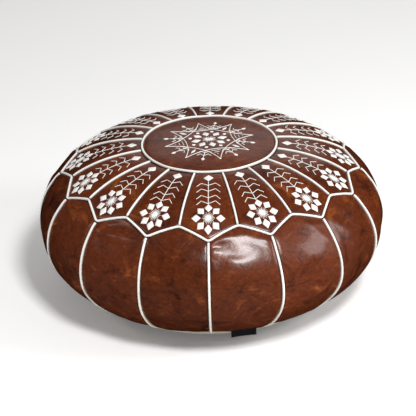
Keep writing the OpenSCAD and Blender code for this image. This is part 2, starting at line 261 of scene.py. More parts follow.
# folds in the side panels: panel, three places across (-1 to 1) and down (0 to 1), height, width
folds = {
    "side_01": [((-0.98, 0.015), (-0.45, 0.045), (0.15, 0.06), 2.6, 6),
                ((-0.97, 0.04), (-0.70, 0.12), (-0.30, 0.20), 2.0, 5),
                ((-0.90, 0.06), (-0.60, 0.075), (-0.25, 0.12), -1.8, 4),
                ((-0.95, 0.07), (-0.88, 0.17), (-0.70, 0.27), 1.5, 5),
                ((0.98, 0.03), (0.55, 0.05), (0.15, 0.03), 2.0, 6),
                ((-0.60, 0.13), (-0.20, 0.16), (0.30, 0.15), -1.6, 8),
                ((0.95, 0.06), (0.80, 0.18), (0.60, 0.30), 1.4, 7)],
    "side_15": [((-0.95, 0.03), (-0.05, 0.13), (0.95, 0.04), 3.6, 7),
                ((-0.55, 0.05), (0.0, 0.06), (0.55, 0.04), -3.8, 8),
                ((-0.9, 0.10), (-0.6, 0.22), (-0.1, 0.30), 1.5, 9)],
    "side_16": [((0.97, 0.01), (0.80, 0.05), (0.60, 0.08), 1.6, 4),
                ((-1.0, 0.02), (-0.80, 0.08), (-0.55, 0.20), 1.0, 6)],
    "side_02": [((-0.95, 0.0), (-0.86, 0.09), (-0.80, 0.19), 1.8, 3),
                ((0.10, 0.03), (0.40, 0.08), (0.75, 0.17), 2.6, 9),
                ((0.98, 0.02), (0.70, 0.06), (0.35, 0.05), 2.0, 5)],
    "side_14": [((-0.95, 0.02), (-0.3, 0.10), (0.4, 0.12), 2.6, 7),
                ((0.95, 0.02), (0.70, 0.09), (0.50, 0.22), 2.0, 6),
                ((-0.3, 0.04), (0.0, 0.05), (0.3, 0.04), -2.4, 7)],
    "side_03": [((-0.97, 0.02), (-0.6, 0.10), (-0.3, 0.24), 2.4, 7),
                ((0.97, 0.03), (0.4, 0.10), (-0.1, 0.11), 2.2, 6)],
}
creases = np.random.default_rng(11)
for i in range(PANELS):
    name = f"side_{i + 1:02d}"
    own = folds.setdefault(name, [])
    if len(own) < 2:
        for side in (-1, 1):
            reach, drop = creases.uniform(0.4, 1.1), creases.uniform(0.08, 0.28)
            own.append(((side * 0.98, 0.02), (side * (0.98 - 0.5 * reach), 0.03 + 0.45 * drop),
                        (side * (0.98 - reach), 0.02 + drop),
                        creases.uniform(1.4, 3.2), creases.uniform(5, 9)))
        x = creases.uniform(-0.2, 0.2)
        own.append(((x - 0.35, 0.05), (x, 0.07), (x + 0.35, 0.05), creases.uniform(-3, -1.2), 8))
    for side in (-1, 1):    # gathers that run up from the seam round the foot
        x = side * creases.uniform(0.25, 0.85)
        own.append(((x, 0.99), (x + creases.uniform(-0.05, 0.05), 0.90),
                    (x + creases.uniform(-0.1, 0.1), 0.80), creases.uniform(0.8, 1.8), creases.uniform(5, 8)))
for i in range(PANELS):
    own = folds.setdefault(f"petal_{i + 1:02d}", [])
    for side in (-1, 1):
        if creases.random() < 0.6:
            own.append(((side * 0.97, 0.93), (side * 0.80, 0.86), (side * 0.70, creases.uniform(0.7, 0.82)),
                        creases.uniform(0.5, 1.1), creases.uniform(2.5, 4)))
    own.append(((0, 0.99), (creases.uniform(-0.1, 0.1), 0.95), (creases.uniform(-0.25, 0.25), 0.90), 0.9, 4))


def fold_heights(g, lines):
    """The folds' height over a panel's grid, each a soft ridge along a bent line."""
    rows, cols = g.shape[0] - 1, g.shape[1] - 1
    high = np.zeros(g.shape[:2])
    for p, q, r, height, width in lines:
        corners = [g[min(rows, round(v * rows)), min(cols, max(0, round((u + 1) / 2 * cols)))]
                   for u, v in (p, q, r)]
        t = np.linspace(0, 1, 25)[:, None]
        bend = 2 * corners[1] - (corners[0] + corners[2]) / 2    # the line passes through its middle corner
        line = (1 - t) ** 2 * corners[0] + 2 * t * (1 - t) * bend + t ** 2 * corners[2]
        gap = np.linalg.norm(g[:, :, None] - line, axis=-1)
        k = gap.argmin(-1) / 24
        near = np.take_along_axis(gap, gap.argmin(-1)[..., None], -1)[..., 0]
        taper = np.clip(1.25 - k, 0, 1) ** 0.7
        high += height * 1e-3 * taper * np.exp(-(near / (width * 1e-3)) ** 2)
    return high


# lines beside each seam: distance from it, and how deep the rolled edge lies there, in metres
rolled = [(0.0, 0.0070), (0.0010, 0.0022), (0.0022, 0.0007), (0.0038, 0.0001)]


def spread_lines(values, run, places):
    """values along their last-but-one axis, read off at new places along the run."""
    picked = np.empty((len(places), values.shape[1]))
    for c in range(values.shape[1]):
        picked[:, c] = np.interp(places, run, values[:, c])
    return picked


def roll_edges(values, count):
    """Reads a panel again, line by line, with lines close beside the seams at its two ends."""
    done = []
    for line in values:
        run = np.r_[0, np.cumsum(np.linalg.norm(np.diff(line[:, :3], axis=0), axis=1))]
        near = np.array([d for d, depth in rolled])
        inner = np.linspace(near[-1], run[-1] - near[-1], count)[1:-1]
        places = np.r_[near, inner, run[-1] - near[::-1]]
        done.append(spread_lines(line, run, places))
    return np.array(done)


def panel_piece(name, g, n, move, share, seed, down_count, across_count):
    """A panel's finished mesh: settled, swollen, folded, and rolled in at its seams."""
    wobble = np.random.default_rng(seed)
    edge = from_edges(g)
    ease = np.clip(edge / 0.011, 0, 1)
    ease = ease * ease * (3 - 2 * ease)
    # the side panels are pulled taut, and a little in, where they run down to the base seam
    to_base = np.linalg.norm(np.diff(g, axis=0), axis=-1)[::-1].cumsum(0)[::-1]
    to_base = np.vstack([to_base, 0 * to_base[:1]]) if name.startswith("side") else np.full(g.shape[:2], 1.0)
    taut = np.clip(to_base / 0.070, 0, 1)
    taut = taut * taut * (3 - 2 * taut)
    # the shoulder is firm, so the side panels bulge less near their tops
    from_top = np.linalg.norm(np.diff(g, axis=0), axis=-1).cumsum(0)
    from_top = np.vstack([0 * from_top[:1], from_top])
    firm = 0.40 + 0.60 * np.clip(from_top / 0.085, 0, 1) ** 1.5 if name.startswith("side") else 1.0
    body = g + move * (share * (0.35 + 0.65 * ease) * taut * firm)[..., None]
    body = body - n * (0.0016 * np.exp(-((to_base - 0.020) / 0.018) ** 2))[..., None]
    bump_size = 0.00022 if name.startswith("side") else 0.00010
    bumps = np.zeros(g.shape[:2])
    for k in range(7):
        way = wobble.normal(size=3)
        way *= wobble.uniform(35, 110) / np.linalg.norm(way)
        bumps += bump_size * np.sin(g @ way + wobble.uniform(0, 6.3))
    high = (fold_heights(g, folds.get(name, [])) + bumps) * np.clip(edge / 0.008, 0, 1) ** 0.8
    body = body + n * high[..., None]
    both = np.concatenate([body, n], -1)
    both = roll_edges(both, across_count)                              # across the panel
    both = roll_edges(both.swapaxes(0, 1), down_count).swapaxes(0, 1)  # down the panel
    body, n = both[..., :3], both[..., 3:]
    depth = np.array([d for gap, d in rolled])
    rows, cols = body.shape[:2]
    sink = np.zeros((rows, cols))
    for k, d in enumerate(depth):
        for line in (sink[k], sink[rows - 1 - k], sink[:, k], sink[:, cols - 1 - k]):
            np.maximum(line, d, out=line)
    body = body - n * sink[..., None]
    piece = new_piece(name, body.reshape(-1, 3), grid_faces(rows, cols))
    mark(piece, "seam", from_edges(body))
    mark(piece, "tone", np.full(rows * cols, wobble.uniform(0, 1)))
    return piece


def mark(piece, name, values):
    """A number on every point, which the material reads."""
    marked = piece.data.attributes.new(name, "FLOAT", "POINT")
    marked.data.foreach_set("value", np.ravel(values).astype(np.float32))


def soft_finish(piece, thick):
    """A hide's thickness inwards, and one subdivision."""
    if thick:
        back = piece.modifiers.new("thickness", "SOLIDIFY")
        back.thickness, back.offset = thick, -1
        back.use_rim = True
    round_off = piece.modifiers.new("round_off", "SUBSURF")
    round_off.levels = round_off.render_levels = 1


def nodes_of(name, roughness, specular, **settings):
    """A new material, its shader, and two calls that add a node and join two nodes."""
    material = bpy.data.materials.new(name)
    material.use_nodes = True
    tree = material.node_tree
    shader = tree.nodes["Principled BSDF"]
    shader.inputs["Roughness"].default_value = roughness
    shader.inputs["Specular IOR Level"].default_value = specular
    for key, value in settings.items():
        shader.inputs[key.replace("_", " ")].default_value = value

    def node(kind, **values):
        made = tree.nodes.new("ShaderNode" + kind)
        for key, value in values.items():
            if key.startswith("in_"):
                socket = key[3:]
                made.inputs[int(socket) if socket.isdigit() else socket].default_value = value
            else:
                setattr(made, key, value)
        return made

    def link(a, a_out, b, b_in):
        tree.links.new(a.outputs[a_out], b.inputs[b_in])

    return material, shader, node, link


def ramp(node, *stops):
    """A colour ramp from (place, colour) stops."""
    made = node("ValToRGB")
    band = made.color_ramp
    while len(band.elements) < len(stops):
        band.elements.new(0.5)
    for element, (place, colour) in zip(band.elements, stops):
        element.position = place
        element.color = (*colour, 1) if len(colour) == 3 else (colour[0],) * 3 + (1,)
    return made


def texture_space(node, link, scale=(1, 1, 1)):
    where = node("TexCoord")
    sized = node("Mapping", in_Scale=scale)
    link(where, "Object", sized, "Vector")
    return sized


def noise(node, link, space, scale, detail=4.0, rough=0.55, distort=0.0):
    made = node("TexNoise", in_Scale=scale, in_Detail=detail, in_Roughness=rough, in_Distortion=distort)
    link(space, "Vector", made, "Vector")
    return made


def relief(node, link, shader, height, strength, distance):
    """A bump over whatever relief the shader has already; height is a (node, output)."""
    made = node("Bump", in_Strength=strength, in_Distance=distance)
    link(*height, made, "Height")
    normal = shader.inputs["Normal"]
    if normal.is_linked:
        link(normal.links[0].from_node, "Normal", made, "Normal")
    link(made, "Normal", shader, "Normal")


def spread(node, link, source, low, high, to_low, to_high, from_output="Fac"):
    """A value moved from one range to another."""
    made = node("MapRange", in_1=low, in_2=high, in_3=to_low, in_4=to_high)
    link(source, from_output, made, 0)
    return made


def blend_colour(node, link, mode, factor, a, b):
    """Two colour outputs mixed; factor is a number or a (node, output)."""
    made = node("Mix", data_type="RGBA", blend_type=mode)
    if isinstance(factor, tuple):
        link(*factor, made, 0)
    else:
        made.inputs[0].default_value = factor
    for socket, value in ((6, a), (7, b)):
        if len(value) == 2:
            link(*value, made, socket)
        else:
            made.inputs[socket].default_value = (*value, 1)
    return made


def leather_material(name, dark, middle, bright, seam_shade_and_wear_strength):
    """Polished pull-up leather: clouds of dark and orange brown, a fine grain and a waxy gloss."""
    material, shader, node, link = nodes_of(name, 0.3, 0.22, Coat_Weight=0.18, Coat_Roughness=0.16)
    space = texture_space(node, link, (1, 1, 1.5))
    clouds = noise(node, link, space, 21, 9, 0.68, 1.1)
    flecks = noise(node, link, space, 120, 7, 0.68, 1.0)
    hide = ramp(node, (0.33, dark), (0.47, middle), (0.56, middle), (0.70, bright))
    link(clouds, "Fac", hide, "Fac")
    fleck_tone = ramp(node, (0.32, (0.62,)), (0.52, (1.0,)), (0.70, (1.50,)))
    link(flecks, "Fac", fleck_tone, "Fac")
    mottled = blend_colour(node, link, "MULTIPLY", 0.75, (hide, "Color"), (fleck_tone, "Color"))
    # each panel comes from another part of the hide
    tone = node("Attribute", attribute_name="tone")
    tone_range = spread(node, link, tone, 0.0, 1.0, 0.82, 1.18)
    toned = node("VectorMath", operation="SCALE")
    link(mottled, 2, toned, 0)
    link(tone_range, 0, toned, "Scale")
    # painted shade: the rolled edge and the groove beside the piping are darkened, and a band just beyond is
    # lightened, partly as the pull-up dye rubbed thin and partly as a painted highlight
    seam = node("Attribute", attribute_name="seam")
    painted_seam_shade_and_wear = ramp(node, (0.0, (0.30,)), (0.16, (0.55,)), (0.30, (1.10,)), (0.55, (1.0,)), (1.0, (1.0,)))
    reach = spread(node, link, seam, 0.004, 0.024, 0.0, 1.0)
    link(reach, 0, painted_seam_shade_and_wear, "Fac")
    seam_shaded = blend_colour(node, link, "MULTIPLY", seam_shade_and_wear_strength, (toned, "Vector"), (painted_seam_shade_and_wear, "Color"))
    link(seam_shaded, 2, shader, "Base Color")
    # gloss varies with handling
    rub = noise(node, link, space, 9, 5, 0.6, 0.3)
    gloss = spread(node, link, rub, 0.3, 0.7, 0.22, 0.40)
    link(gloss, 0, shader, "Roughness")
    # grain: small pebbled cells over soft pores and long shallow wrinkles
    plain = texture_space(node, link)
    cells = node("TexVoronoi", feature="DISTANCE_TO_EDGE", in_Scale=620)
    link(plain, "Vector", cells, "Vector")
    cell_walls = spread(node, link, cells, 0.0, 0.22, 0.0, 1.0, "Distance")
    pores = noise(node, link, plain, 330, 5, 0.6)
    wrinkles = noise(node, link, texture_space(node, link, (1, 1, 0.35)), 55, 5, 0.55, 1.2)
    relief(node, link, shader, (cell_walls, 0), 0.22, 0.00012)
    relief(node, link, shader, (pores, "Fac"), 0.35, 0.00015)
    relief(node, link, shader, (wrinkles, "Fac"), 0.5, 0.0018)
    return material


# the last number sets how strongly the painted seam shade and the lighter band beyond it show
brown_leather = leather_material("brown_leather", (0.046, 0.0102, 0.0048), (0.102, 0.0215, 0.0066),
                                 (0.245, 0.062, 0.0132), 0.85)

for seed, (name, (g, n)) in enumerate(panels.items()):
    kind, number = name.split("_")
    # the petals lie flat on the firm crown, the side panels bulge more
    share, lines_down = (0.12, 26) if kind == "petal" else (0.60, 46)
    piece = panel_piece(name, g, n, swell[seed], share, 100 + seed, lines_down, 20)
    piece.name = f"{kind}_leather_{number}"
    piece.data.materials.append(brown_leather)
    soft_finish(piece, leather_thick)
    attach(piece, "root")
    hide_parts(f"{kind}_panel_{number}")

# the medallion: a disc with its rolled edge, gently crowned and gathered a little at its rim
lo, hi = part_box("medallion_panel")
crown_top = hi.z
crown_rise = crown_top - ring[1]
disc_lines = 44
u = np.linspace(-1, 1, disc_lines + 1)
uu, vv = np.meshgrid(u, u, indexing="ij")
x = uu * np.sqrt(1 - vv ** 2 / 2)
y = vv * np.sqrt(1 - uu ** 2 / 2)
share = np.hypot(x, y)
disc_r = ring[0]
# lines crowd towards the rim, for the rolled edge
stretch = np.where(share > 0, (1 - (1 - share) ** 1.35) / np.maximum(share, 1e-9), 1.35)
x, y = x * stretch * disc_r, y * stretch * disc_r
rr = np.hypot(x, y)
turn = np.arctan2(x, -y)
gap = disc_r - rr
z = ring[1] + crown_rise * (1 - (rr / disc_r) ** 2) + 0.0014 * (1 - np.exp(-gap / 0.012))
z += 0.00035 * np.sin(9 * turn + 2 * np.sin(2 * turn)) * np.exp(-gap / 0.018)
z += 0.0006 * np.sin(38 * x + 1) * np.sin(31 * y + 2) * np.clip(gap / 0.03, 0, 1)
z -= np.interp(gap, [d for d, depth in rolled], [depth for d, depth in rolled])
medallion_points = settle(np.stack([x, y, z], -1))
medallion = new_piece("medallion_leather", medallion_points.reshape(-1, 3),
                      grid_faces(disc_lines + 1, disc_lines + 1))
medallion.data.flip_normals()
mark(medallion, "seam", gap + 0.0065 * (gap < 0.12))
mark(medallion, "tone", np.full(gap.size, 0.62))
medallion.data.materials.append(brown_leather)
soft_finish(medallion, leather_thick)
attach(medallion, "root")
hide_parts("medallion_panel")

# ---- Piping ----
# A narrow strip of white leather folded over a thin cord and caught in every seam, so that it
# stands up between the panels as a flat-topped bead. Five lengths: round the medallion, between
# the petals, along the zigzag, between the side panels, and round the base.


def surface_of(*pieces):
    """The finished surface of some pieces, to lay things on."""
    graph = bpy.context.evaluated_depsgraph_get()
    verts, faces, start = [], [], 0
    for piece in pieces:
        shown = piece.evaluated_get(graph)
        mesh = shown.to_mesh()
        co = np.empty(len(mesh.vertices) * 3)
        mesh.vertices.foreach_get("co", co)
        verts.append(co.reshape(-1, 3))
        faces += [[start + k for k in p.vertices] for p in mesh.polygons]
        start += len(mesh.vertices)
        shown.to_mesh_clear()
    return BVHTree.FromPolygons(np.vstack(verts).tolist(), faces)


bpy.context.view_layer.update()
cover_pieces = [o for o in bpy.context.scene.objects if "_leather" in o.name]
cover = surface_of(*cover_pieces)


def height_over(point, facing, from_above=0.03):
    """How high the cover stands over a point, measured along facing."""
    start = Vector(point) + Vector(facing) * from_above
    hit = cover.ray_cast(start, -Vector(facing), 2 * from_above)
    return from_above - hit[3] if hit[0] is not None else None


# the bead's section: across and up, in metres
bead = np.array([(-2.2, -2.6), (-2.5, -0.6), (-2.45, 0.55), (-1.95, 1.35), (-1.05, 1.75), (0, 1.85),
                 (1.05, 1.75), (1.95, 1.35), (2.45, 0.55), (2.5, -0.6), (2.2, -2.6), (0, -3.0)]) * 1e-3


def sweep_bead(points, facing, closed=False, seed=0, size=0.85, proud=0.0003):
    """Sweeps the bead along a seam. It rides just over the rolled edges on each side."""
    count = len(points)
    ahead = np.roll(points, -1, 0) - np.roll(points, 1, 0)
    if not closed:
        ahead[0], ahead[-1] = points[1] - points[0], points[-1] - points[-2]
    ahead /= np.linalg.norm(ahead, axis=1, keepdims=True)
    aside = np.cross(ahead, facing)
    aside /= np.linalg.norm(aside, axis=1, keepdims=True)
    up = np.cross(aside, ahead)
    lift = []
    for p, a, n in zip(points, aside, up):
        found = [height_over(p + side * 0.0034 * a, n) for side in (-1, 1)]
        found = [h for h in found if h is not None and abs(h) < 0.012]
        lift.append(np.clip(max(found) if found else 0, -0.001, 0.007))
    lift = np.array(lift)
    for k in range(3):
        around = [np.roll(lift, 1), lift, np.roll(lift, -1)]
        if not closed:
            around[0][0], around[2][-1] = lift[0], lift[-1]
        lift = np.maximum(sum(around) / 3, lift * 0.7)
    shake = np.random.default_rng(seed)
    waver = np.convolve(shake.normal(0, 1, count + 8), np.ones(9) / 9, "valid") * 0.00022
    centre = points + up * (lift + proud)[:, None] + aside * waver[:, None]
    section = bead * (size, 0.5 + size / 2)
    rings = centre[:, None] + section[None, :, :1] * aside[:, None] + section[None, :, 1:] * up[:, None]
    rows, cols = rings.shape[:2]
    verts = rings.reshape(-1, 3)
    at = np.arange(rows * cols).reshape(rows, cols)
    if closed:
        at = np.vstack([at, at[:1]])
    at = np.hstack([at, at[:, :1]])
    faces = np.stack([at[:-1, :-1], at[:-1, 1:], at[1:, 1:], at[1:, :-1]], -1).reshape(-1, 4).tolist()
    if not closed:
        faces += [list(range(cols))[::-1], list(range((rows - 1) * cols, rows * cols))]
    return verts, faces


def join_parts(name, parts):
    verts, faces, start = [], [], 0
    for v, f, *uv in parts:
        verts.append(v)
        faces += [[start + k for k in face] for face in f]
        start += len(v)
    return new_piece(name, np.vstack(verts), faces)


piping_leather, shader, node, link = nodes_of("piping_leather", 0.42, 0.35)
space = texture_space(node, link)
height = node("SeparateXYZ")
link(space, "Vector", height, "Vector")
# the piping's colour turns yellower towards the bottom
low_down = spread(node, link, height, 0.02, 0.13, 1.0, 0.0, "Z")
stain = noise(node, link, space, 26, 6, 0.65)
stain_tone = ramp(node, (0.35, (0.80, 0.775, 0.72)), (0.62, (0.90, 0.885, 0.85)))
link(stain, "Fac", stain_tone, "Fac")
yellower_low_down = blend_colour(node, link, "MIX", (low_down, 0), (stain_tone, "Color"), (0.82, 0.73, 0.58))
link(yellower_low_down, 2, shader, "Base Color")
pinch = noise(node, link, space, 420, 4, 0.6, 0.5)
relief(node, link, shader, (pinch, "Fac"), 0.14, 0.00025)
link(spread(node, link, stain, 0.3, 0.7, 0.36, 0.55), 0, shader, "Roughness")


def piping_piece(name, parts, node_name):
    piece = join_parts(name, parts)
    piece.data.materials.append(piping_leather)
    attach(piece, "root")
    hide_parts(node_name)
    return piece


round_a = np.linspace(0, 2 * math.pi, 181)[:-1]
points, facing = on_round(round_a, 0 * round_a)
facing[:] = (0, 0, 1)
piping_piece("piping_round_medallion", [sweep_bead(points, facing, True, 1, 0.68)], "medallion_piping")

parts = []
for i in range(PANELS):
    s = np.linspace(0.0030, s_of_radius(valley[0]) - 0.0022, 48)
    points, facing = on_round(np.full(48, pitch * (i + 0.5)), s)
    parts.append(sweep_bead(points, facing, False, 20 + i, 0.62))
piping_piece("piping_between_petals", parts, "petal_piping")

corner_turn = np.concatenate([pitch * i / 2 + np.linspace(0, half, 19)[:-1] for i in range(2 * PANELS)])
from_tip = np.abs((corner_turn + half) % pitch - half)
points, facing = on_round(corner_turn, zigzag_s(from_tip))
# the bead turns each corner on a small radius
for k in range(2):
    points = (np.roll(points, 1, 0) + 2 * points + np.roll(points, -1, 0)) / 4
piping_piece("piping_zigzag", [sweep_bead(points, facing, True, 50, 0.68)], "crown_piping")

parts = []
for i in range(PANELS):
    s = np.linspace(s_of_radius(tip[0]) + 0.0022, base_s - 0.0030, 96)
    points, facing = on_round(np.full(96, pitch * i), s)
    parts.append(sweep_bead(points, facing, False, 60 + i, 0.68))
piping_piece("piping_between_sides", parts, "side_piping")

round_a = np.linspace(0, 2 * math.pi, 321)[:-1]
points, facing = on_round(round_a, base_s - 0.0030 + 0 * round_a)
piping_piece("piping_round_base", [sweep_bead(points, facing, True, 80, 0.78, 0.0015)], "base_piping")

# ---- Embroidery ----
# White satin stitch in rayon thread, worked on the flat leather before it is sewn up: on each
# petal a diamond, a sprig with four pairs of branches and a flower, on the medallion two
# interlaced stars with sprigs round them.


def on_cover(point, facing):
    """The place where the cover's surface lies under or over a point."""
    start = Vector(point) + Vector(facing) * 0.03
    hit = cover.ray_cast(start, -Vector(facing), 0.06)
    return np.array(hit[0]) if hit[0] is not None else np.array(point)


def petal_place(turn_by):
    """From plan places on a petal, sideways and outwards, to the cover."""
    def place(xy):
        r = np.hypot(xy[:, 0], xy[:, 1])
        a = np.arctan2(xy[:, 0], xy[:, 1]) + turn_by
        points, facing = on_round(a, s_of_radius(r))
        return np.array([on_cover(p, n) for p, n in zip(points, facing)]), facing
    return place


def medallion_place(xy):
    points = settle(np.c_[xy, np.full(len(xy), ring[1])])
    facing = np.tile([0.0, 0.0, 1.0], (len(xy), 1))
    return np.array([on_cover(p, n) for p, n in zip(points, facing)]), facing


satin_section = np.array([(-1, -0.6), (-1, 0.15), (-0.55, 0.85), (0, 1.0),
                          (0.55, 0.85), (1, 0.15), (1, -0.6)])
satin_high = 0.0007


def satin(place, path, widths, high=satin_high):
    """A bar of satin stitch along a plan path, its width given at the stations along it."""
    path, widths = np.array(path, float), np.array(widths, float)
    run = np.r_[0, np.cumsum(np.linalg.norm(np.diff(path, axis=0), axis=1))]
    ahead = np.gradient(path, run, axis=0)
    ahead /= np.linalg.norm(ahead, axis=1, keepdims=True)
    aside = np.c_[ahead[:, 1], -ahead[:, 0]]
    cols = len(satin_section)
    flat = path[:, None] + aside[:, None] * satin_section[None, :, :1] * widths[:, None, None] / 2
    points, facing = place(flat.reshape(-1, 2))
    tall = np.clip(widths / 0.0016, 0.35, 1)
    up = (satin_section[None, :, 1] * high * tall[:, None]).reshape(-1, 1)
    verts = points + facing * up
    rows = len(path)
    over = np.tile(satin_section[:, 0], rows) * np.repeat(widths, cols) / 2
    return verts, capped(rows, cols), np.stack([np.repeat(run, cols), over], -1)


def bar(place, a, b, width=0.0016, ends=0.8):
    steps = max(3, int(np.linalg.norm(np.subtract(b, a)) / 0.0028) + 1)
    t = np.linspace(0, 1, steps)[:, None]
    widths = np.full(steps, width)
    widths[0] = widths[-1] = width * ends
    return satin(place, np.array(a) * (1 - t) + np.array(b) * t, widths)


def curve_bar(place, path, width=0.0016):
    return satin(place, path, np.full(len(path), width))


def diamond(place, centre, way, length, wide):
    """A solid diamond, its long axis along way."""
    way = np.array(way, float) / np.linalg.norm(way)
    t = np.array([-1, -0.72, -0.36, -0.08, 0.08, 0.36, 0.72, 1])
    widths = np.maximum(wide * (1 - np.abs(t)) ** 0.92, 0.0006)
    return satin(place, np.array(centre) + way * t[:, None] * length / 2, widths, satin_high * 1.25)


def spot(place, centre, radius):
    t = np.array([-1, -0.85, -0.5, 0, 0.5, 0.85, 1])
    widths = np.maximum(2 * radius * np.sqrt(1 - t ** 2), 0.0006)
    return satin(place, np.array(centre) + np.array([1.0, 0]) * t[:, None] * radius, widths, satin_high * 1.3)


thread, shader, node, link = nodes_of("embroidery_thread", 0.42, 0.4, Sheen_Weight=0.25)
threads = node("UVMap", uv_map="threads")
split = node("SeparateXYZ")
link(threads, "UV", split, "Vector")
strand = node("Math", operation="MULTIPLY", in_1=2 * math.pi / 0.00042)
slant = node("Math", operation="MULTIPLY_ADD", in_1=0.35)
link(split, "Y", slant, 0)
link(split, "X", slant, 2)
link(slant, 0, strand, 0)
wave = node("Math", operation="SINE")
link(strand, 0, wave, 0)
fuzz = noise(node, link, texture_space(node, link), 900, 3, 0.6)
raised = node("Math", operation="MULTIPLY_ADD", in_1=0.6)
link(fuzz, "Fac", raised, 0)
link(wave, 0, raised, 2)
relief(node, link, shader, (raised, 0), 0.55, 0.00008)
between = spread(node, link, wave, -1.0, 0.2, 0.0, 1.0, 0)
strands = blend_colour(node, link, "MIX", (between, 0), (0.74, 0.72, 0.68), (0.95, 0.94, 0.92))
link(strands, 2, shader, "Base Color")
link(spread(node, link, fuzz, 0.3, 0.7, 0.36, 0.52), 0, shader, "Roughness")


def thread_piece(name, parts, node_name=None):
    piece = join_parts(name, parts)
    uv = piece.data.uv_layers.new(name="threads")
    per_point = np.vstack([threads for v, f, threads in parts])
    corner = np.empty(len(piece.data.loops), np.int32)
    piece.data.loops.foreach_get("vertex_index", corner)
    uv.data.foreach_set("uv", per_point[corner].ravel().astype(np.float32))
    piece.data.materials.append(thread)
    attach(piece, "root")
    if node_name:
        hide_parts(node_name)
    return piece


def petal_motif(place, tilt):
    """One petal's motif: inner diamond, sprig, and a flower turned a little by hand."""
    parts = [diamond(place, (0, 0.1250), (0, 1), 0.0170, 0.0160)]
    parts.append(bar(place, (0, 0.1335), (0, 0.1880), 0.0012))
    for r in (0.145, 0.159, 0.1737, 0.1855):
        for side in (-1, 1):
            t = np.linspace(0, 1, 5)[:, None]
            elbow = np.array([side * 0.0109, r - 0.0057])
            inner = np.array([0, r]) * (1 - t) + elbow * t
            outer = elbow * (1 - t) + np.array([side * 0.0180, r + 0.0018]) * t
            parts.append(curve_bar(place, np.vstack([inner, outer[1:]]), 0.0011))
    flower = np.array([0, 0.2105])
    for k in range(8):
        turn_to = k * pitch * 2 + tilt
        way = np.array([math.sin(turn_to), -math.cos(turn_to)])
        centre = flower + way * (0.0168 + 0.0016 * way[0] ** 2 - 0.0028 * abs(way[0] * way[1]))
        parts.append(diamond(place, centre, way, 0.0135, 0.0125))
    for k in range(20):
        a = k * 2 * math.pi / 20 + tilt
        way = np.array([math.sin(a), math.cos(a)])
        reach = 0.0098 if k % 2 else 0.0086
        path = flower + way * np.linspace(0.002, reach, 4)[:, None]
        parts.append(satin(place, path, [0.0013, 0.0011, 0.0008, 0.0006]))
    parts.append(spot(place, flower, 0.0034))
    return parts


parts = []
hand = np.random.default_rng(7)
for i in range(PANELS):
    parts += petal_motif(petal_place(pitch * i), math.radians(hand.uniform(-4, 4)))
thread_piece("embroidery_petals", parts, "petal_embroidery")

# the medallion's motif, in shares of its radius
R = disc_r


def polar(share, degrees):
    a = math.radians(degrees)
    return np.array([math.cos(a), math.sin(a)]) * share * R


parts = []
star_tip, arc_centre, arc_radius = 0.675, 1.308, 0.958
for k in range(8):
    # each star's side is an arc between two tips ninety degrees apart
    mid = 15 + 45 * k + 45
    a, b = polar(star_tip, mid - 45), polar(star_tip, mid + 45)
    centre = polar(arc_centre, mid)
    ends = [math.atan2(*(p - centre)[::-1]) for p in (a, b)]
    sweep = (ends[1] - ends[0] + math.pi) % (2 * math.pi) - math.pi
    turns = ends[0] + sweep * np.linspace(0, 1, 27)
    path = centre + np.c_[np.cos(turns), np.sin(turns)] * arc_radius * R
    parts.append(curve_bar(medallion_place, path, 0.0013))
for k in range(8):
    way = -7.5 + 45 * k
    across_way = polar(1 / R, way + 90)
    parts.append(bar(medallion_place, polar(0.385, way), polar(0.60, way), 0.0012))
    for share in (0.47, 0.55):
        node_at = polar(share, way)
        for side in (-1, 1):
            elbow = polar(share - 0.055, way) + side * across_way * 0.060 * R
            end = polar(share - 0.010, way) + side * across_way * 0.105 * R
            t = np.linspace(0, 1, 4)[:, None]
            path = np.vstack([node_at * (1 - t) + elbow * t, (elbow * (1 - t) + end * t)[1:]])
            parts.append(curve_bar(medallion_place, path, 0.0011))
    parts.append(diamond(medallion_place, polar(0.648, way), polar(1, way), 0.085 * R, 0.060 * R))
    # flower in the middle, and the small motif in each star's point
    aim = 15 + 45 * k
    parts.append(diamond(medallion_place, polar(0.20, aim), polar(1, aim), 0.145 * R, 0.115 * R))
    parts.append(spot(medallion_place, polar(0.285, aim + 22.5), 0.026 * R))
    if k % 2:
        parts.append(diamond(medallion_place, polar(0.455, aim), polar(1, aim), 0.13 * R, 0.052 * R))
    else:
        for step in (-0.055, 0, 0.055):
            width_here = (0.50 - (0.455 + step)) * 0.55 + 0.015
            side_way = polar(1 / R, aim + 90) * width_here * R
            here = polar(0.455 + step, aim)
            parts.append(bar(medallion_place, here - side_way, here + side_way, 0.0010))
for k in range(16):
    way = polar(1 / R, k * 22.5 + 3.75)
    reach = (0.105 if k % 2 else 0.09) * R
    path = way * np.linspace(0.01 * R, reach, 4)[:, None]
    parts.append(satin(medallion_place, path, [0.0015, 0.0014, 0.0011, 0.0007]))
parts.append(spot(medallion_place, (0.0, 0.0), 0.036 * R))
thread_piece("embroidery_medallion", parts, "medallion_embroidery")

# ---- Base ----
# Two halves of darker, plainer leather that meet at the zip. Each is gathered slightly into the
# base seam and turned in along the zip, where a row of topstitching holds the edge and the tape.

dark_leather = leather_material("dark_leather", (0.030, 0.0095, 0.0045), (0.062, 0.020, 0.0085),
                                (0.105, 0.036, 0.0140), 0.4)
slot_half = 0.007
tape_lo, tape_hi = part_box("zip_tape_front")
slot_length = tape_hi.x - tape_lo.x
flat_r = foot_c[0]
rim_r = base_seam_r - 0.0006


def floor_height(r):
    """The height of the base's outside at radius r: flat in the middle, rising to the seam."""
    rise = foot_curve_r - np.sqrt(np.maximum(foot_curve_r ** 2 - np.maximum(r - flat_r, 0) ** 2, 0))
    return np.where(r > flat_r, rise, 0)


